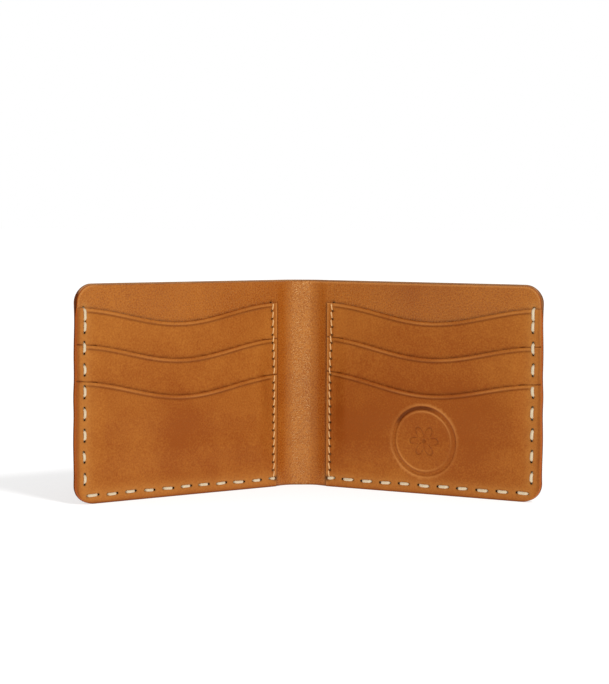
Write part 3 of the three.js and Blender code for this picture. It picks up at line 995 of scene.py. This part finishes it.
# the shell's cut edge: a darker copy of the burnished edge, painted darker as shade where its rounded
# edge turns away at the silhouette
SHELL_EDGE_WITH_SHADE = burnished_edge("shell_edge", colour(78, 34, 8), colour(124, 62, 18))
HOLE = hole_wall("hole_wall")
SHELL_GRAIN = grain_leather("shell_grain", colour(136, 66, 20), colour(172, 100, 40), 0.3, 0.43, 0.9)
LINING_GRAIN = grain_leather("lining_grain", colour(147, 70, 15), colour(185, 108, 33), 0.8, 0.28, 1.5)
POCKET_GRAIN = grain_leather("pocket_grain", colour(147, 72, 19), colour(187, 115, 44), 0.28, 0.43, 0.9)
EDGE_THREAD = waxed_thread("waxed_linen_thread", colour(190, 166, 128), colour(228, 212, 180))
FINE_THREAD = waxed_thread("fine_linen_thread", colour(200, 138, 76), colour(244, 196, 132))

# ------------------------------------------------------------------ the wallet's pieces


def bend_with(piece):
    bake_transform(piece)


def shell_sheet(side):
    edge = edge_seam(side)

    def depths(points):
        level = SHELL_FACE + sway(*points.T) - shell_bulge(*points.T)
        back = level - SHELL_THICKNESS + stitch_pull(points, edge, edge.back_legs, EDGE_PRESS)
        # painted shade on the shell's flesh side near its outer edge, partly burnished darkening:
        # strongest on the left wing, where that edge lies in shadow
        amount = 1.0 if side == "left" else 0.2
        rubbed = ease(points[:, 0], WING_LENGTH - 2.2, WING_LENGTH - 1.2)
        return level, back, {"burnish_and_shade": amount * rubbed}

    holes = edge.pulled_holes(edge.back_legs)
    materials = [FLESH, SHELL_GRAIN, SHELL_EDGE_WITH_SHADE, HOLE]
    piece = leather_sheet(
        f"shell_sheet_{side}",
        side,
        shell_outline(),
        holes,
        rows_down_the_spine(),
        depths,
        SHELL_ROUNDS,
        materials,
        bends=True,
    )
    bend_with(piece)
    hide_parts(f"outer_shell_{side}", "outer_shell_spine")


def lining_sheet(side):
    edge = edge_seam(side)

    def depths(points):
        level = sway(*points.T)
        front = level - stitch_pull(points, edge, [0], EDGE_PRESS)
        # painted shadows: below the top pocket's mouth and beside the pockets' inner edge
        lines = mouth_shade(*points.T, mouth_of(side, 0)) + pocket_edge_shade(*points.T)
        return front, level - LINING_THICKNESS, {"line": lines, "painted_hole_shade": last_hole_shade(points, edge)}

    holes = edge.pulled_holes(edge.front_legs) + inner_seam().round_holes()
    holes += base_seam(0).round_holes() + base_seam(1).round_holes()
    materials = [LINING_GRAIN, FLESH, EDGE, HOLE]
    piece = leather_sheet(
        f"lining_sheet_{side}",
        side,
        lining_outline(),
        holes,
        rows_down_the_spine(),
        depths,
        LINING_ROUNDS,
        materials,
        bends=True,
    )
    bend_with(piece)
    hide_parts(f"lining_{side}", "lining_spine")


def card_pocket(side, index):
    edge, inner = edge_seam(side), inner_seam()
    is_front = index == 2
    layer = POCKET_LAYERS[index]

    def depths(points):
        x, z = points.T
        own_mouth = mouth_of(side, index)
        back = LAYER_GAP + pocket_lift(x, z, index)
        front = back + POCKET_THICKNESS + crease_relief(x, z, own_mouth)
        front = front - stitch_pull(points, edge, edge.front_legs, EDGE_PRESS)
        front = front - stitch_pull(points, inner, range(INNER_HOLES - 1), FINE_PRESS)
        lines, painted_highlight = crease_shade(x, z, own_mouth), lip_highlight(x, z, own_mouth)
        # painted highlight along the pocket's inner edge, beside the spine
        painted_highlight = painted_highlight + 1.6 * bell(x - POCKET_INNER_X - 0.4, 0.5)
        # painted shade beside the outer edge
        lines = lines + outer_edge_shade(x, side)
        if not is_front:
            front = front - paring(x, z, index)
            # painted shadow below the mouth of the pocket in front
            lines = lines + mouth_shade(x, z, mouth_of(side, index + 1))
        if is_front and side == "right":
            # the stamp's painted shade and painted highlights
            front = front + stamp_relief(x, z)
            lines, painted_highlight = lines + stamp_shade(x, z), painted_highlight + stamp_rim_highlight(x, z)
        return front, back, {"line": lines, "painted_highlight": painted_highlight, "painted_hole_shade": last_hole_shade(points, edge)}

    holes = edge.pulled_holes(edge.front_legs) + inner.round_holes()
    extra = rows_below_top_edge(mouth_of(side, index))
    if is_front:
        outline = front_pocket_outline(side)
        extra += stamp_points() if side == "right" else []
    else:
        outline = upper_pocket_outline(side, index)
        holes += base_seam(index).round_holes()
    materials = [POCKET_GRAIN, FLESH, EDGE, HOLE]
    name = f"card_pocket_{layer}_{side}_leather"
    piece = leather_sheet(name, side, outline, holes, extra, depths, POCKET_ROUNDS, materials)
    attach(piece, f"{side}_wing")
    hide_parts(f"card_pocket_{layer}_{side}")


def stitching(side, node, seam, levels, rise, radius, material):
    """One thread of a seam, standing in for a CAD node."""
    rng = np.random.default_rng(len(node))
    path = thread_path(seam, levels, rise, 0.36 * radius, rng)
    piece = rope(node.replace("thread", "stitching"), side, path, radius, material)
    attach(piece, f"{side}_wing")
    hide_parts(node)


def edge_stitching(side):
    def front(x, z):
        return POCKET_FACE + sway(x, z) - 0.75 * EDGE_PRESS

    def back(x, z):
        return SHELL_FACE - SHELL_THICKNESS + sway(x, z) + 0.75 * EDGE_PRESS

    radius = EDGE_THREAD_RADII[side]
    rise = 0.65 * radius
    seam = edge_seam(side)
    node = f"edge_thread_{side}"
    stitching(side, node, seam, (front, back), rise, radius, EDGE_THREAD)


def inner_stitching(side, order):
    def front(x, z):
        return POCKET_FACE + sway(x, z) - FINE_PRESS

    def back(x, z):
        return -LINING_THICKNESS + sway(x, z)

    seam = inner_seam(first_front_leg=0 if order == "first" else 1)
    radius = FINE_THREAD_RADIUS
    rise = 0.6 * radius
    node = f"inner_seam_thread_{order}_{side}"
    stitching(side, node, seam, (front, back), rise, radius, FINE_THREAD)


def base_stitching(side, index):
    def front(x, z):
        return POCKET_FACE + pocket_lift(x, z, index) - paring(x, z, index) - HIDDEN_THREAD_RADIUS

    def back(x, z):
        return -LINING_THICKNESS + sway(x, z)

    radius = HIDDEN_THREAD_RADIUS
    rise = 0.3 * radius
    seam = base_seam(index)
    node = f"pocket_base_thread_{POCKET_LAYERS[index]}_{side}"
    stitching(side, node, seam, (front, back), rise, radius, FINE_THREAD)


for wing in SIDES:
    shell_sheet(wing)
    lining_sheet(wing)
    for pocket in range(3):
        card_pocket(wing, pocket)
    edge_stitching(wing)
    for thread in ("first", "second"):
        inner_stitching(wing, thread)
    for pocket in range(2):
        base_stitching(wing, pocket)

# ------------------------------------------------------------------ floor, light and camera

KEY_AZIMUTH, KEY_ELEVATION = 37, 42  # degrees

CAMERA_AT = (-58.1, -876.7, 119.4)
CAMERA_LENS = 106.04
CAMERA_TURN, CAMERA_TILT, CAMERA_ROLL = 3.887, -3.687, 0.31  # degrees


def make_floor():
    """A pale floor, bright enough to show plain white outside the wallet's shadow."""
    mesh = bpy.data.meshes.new("floor")
    reach = 12.0
    corners = [(-reach, -reach, 0), (reach, -reach, 0), (reach, reach, 0), (-reach, reach, 0)]
    mesh.from_pydata(corners, [], [(0, 1, 2, 3)])
    floor = bpy.data.objects.new("floor", mesh)
    bpy.context.scene.collection.objects.link(floor)
    material = bpy.data.materials.new("pale_floor")
    material.use_nodes = True
    surface = material.node_tree.nodes["Principled BSDF"]
    surface.inputs["Base Color"].default_value = (0.45, 0.45, 0.45, 1)
    surface.inputs["Roughness"].default_value = 0.9
    surface.inputs["Specular IOR Level"].default_value = 0.0
    surface.inputs["Emission Color"].default_value = (1, 1, 1, 1)
    surface.inputs["Emission Strength"].default_value = 0.6
    mesh.materials.append(material)
    return floor


def make_world(fill):
    """Even white light. The camera sees it as plain white."""
    world = bpy.data.worlds.new("studio")
    bpy.context.scene.world = world
    world.use_nodes = True
    tree = world.node_tree
    path = tree.nodes.new("ShaderNodeLightPath")
    strength = tree.nodes.new("ShaderNodeMapRange")
    strength.inputs["To Min"].default_value = fill
    strength.inputs["To Max"].default_value = 1.0
    tree.links.new(path.outputs["Is Camera Ray"], strength.inputs["Value"])
    tree.links.new(strength.outputs["Result"], tree.nodes["Background"].inputs["Strength"])
    tree.nodes["Background"].inputs["Color"].default_value = (1, 1, 1, 1)


def sun_light(name, azimuth, elevation, softness, strength):
    """Even light from one direction. Azimuth 0 is straight in front, positive to the right."""
    light = bpy.data.lights.new(name, "SUN")
    light.angle = math.radians(softness)
    light.energy = strength
    lamp = bpy.data.objects.new(name, light)
    bpy.context.scene.collection.objects.link(lamp)
    a, e = math.radians(azimuth), math.radians(elevation)
    away = Vector((math.sin(a) * math.cos(e), -math.cos(a) * math.cos(e), math.sin(e)))
    lamp.rotation_euler = away.to_track_quat("Z", "Y").to_euler()
    return lamp


def light_only(lamp, lit):
    """The lamp lights one object alone. Everything still casts its shadow."""
    group = bpy.data.collections.new(f"lit_by_{lamp.name}")
    group.objects.link(lit)
    lamp.light_linking.receiver_collection = group


def make_camera():
    camera = bpy.data.cameras.new("camera")
    camera.lens = CAMERA_LENS
    camera.clip_end = 100
    holder = bpy.data.objects.new("camera", camera)
    bpy.context.scene.collection.objects.link(holder)
    holder.location = Vector(CAMERA_AT) * MM
    turn, tilt, roll = map(math.radians, (CAMERA_TURN, CAMERA_TILT, CAMERA_ROLL))
    ahead = Vector((math.sin(turn) * math.cos(tilt), math.cos(turn) * math.cos(tilt), math.sin(tilt)))
    holder.rotation_mode = "QUATERNION"
    holder.rotation_quaternion = ahead.to_track_quat("-Z", "Y") @ Quaternion((0, 0, 1), roll)
    bpy.context.scene.camera = holder


pale_floor = make_floor()
make_world(fill=0.6)
sun_light("key", KEY_AZIMUTH, KEY_ELEVATION, softness=15, strength=0.62)
sun_light("softbox", azimuth=4, elevation=8, softness=14, strength=0.62)
floor_lamp = sun_light("floor_shadow", KEY_AZIMUTH, KEY_ELEVATION, softness=9, strength=1.6)
light_only(floor_lamp, pale_floor)
make_camera()
bpy.context.scene.view_settings.view_transform = "Standard"
